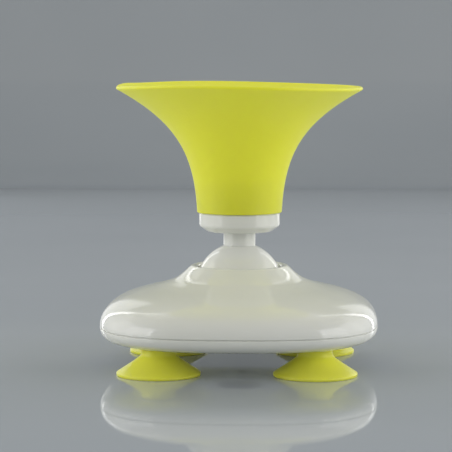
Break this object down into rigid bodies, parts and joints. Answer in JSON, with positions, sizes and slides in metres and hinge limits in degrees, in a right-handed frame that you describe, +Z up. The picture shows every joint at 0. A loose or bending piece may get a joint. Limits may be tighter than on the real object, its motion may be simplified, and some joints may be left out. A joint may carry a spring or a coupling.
{
  "type": "suction stand with flared grip cup",
  "caption": "Free-standing holder: a rounded-square housing on suction feet carries a ball joint and stem, which aim a head cup with a soft flared gripping sleeve.",
  "frame": {"origin": "on the table, under the axis of the stem, at the centre of the suction feet", "axes": "+Z up along the stem; +Y to the back and +X to the right when the housing is seen square from the front"},
  "size_m": [0.152, 0.152, 0.1536],
  "materials": {
    "white_plastic": "glossy moulded white, slightly warm",
    "sleeve_rubber": "satin lime-yellow elastomer",
    "foot_rubber": "glossy lime-yellow elastomer, slightly translucent",
    "liner_plastic": "satin natural-white bearing plastic",
    "steel": "zinc-plated, satin"
  },
  "bodies": {
    "housing": {"top_shell": "white_plastic", "bottom_shell": "white_plastic", "shell_screws": "steel", "suction_foot_front_left": "foot_rubber", "suction_foot_front_right": "foot_rubber", "suction_foot_back_left": "foot_rubber", "suction_foot_back_right": "foot_rubber", "foot_studs": "steel", "foot_washers": "steel", "foot_nuts": "steel", "pressure_spring": "steel", "spring_plate": "steel", "spring_plate_screws": "steel"},
    "socket": {"socket_liner": "liner_plastic", "pressure_ring": "liner_plastic"},
    "ball_stem": {"ball": "white_plastic", "stem": "white_plastic", "centre_bolt": "steel", "centre_nut": "steel", "bolt_washer": "steel"},
    "head": {"head_cup": "white_plastic", "grip_sleeve": "sleeve_rubber", "clamp_ring": "white_plastic", "floor_pad": "sleeve_rubber"}
  },
  "joints": [
    {"name": "socket_turn", "type": "hinge", "parent": "housing", "child": "socket", "pos_m": [0, 0, 0.0433], "axis": [0, 0, 1], "continuous": true},
    {"name": "ball_tilt", "type": "hinge", "parent": "socket", "child": "ball_stem", "pos_m": [0, 0, 0.0433], "axis": [1, 0, 0], "range_deg": [-38, 38]},
    {"name": "head_spin", "type": "hinge", "parent": "ball_stem", "child": "head", "pos_m": [0, 0, 0.0753], "axis": [0, 0, 1], "continuous": true}
  ]
}
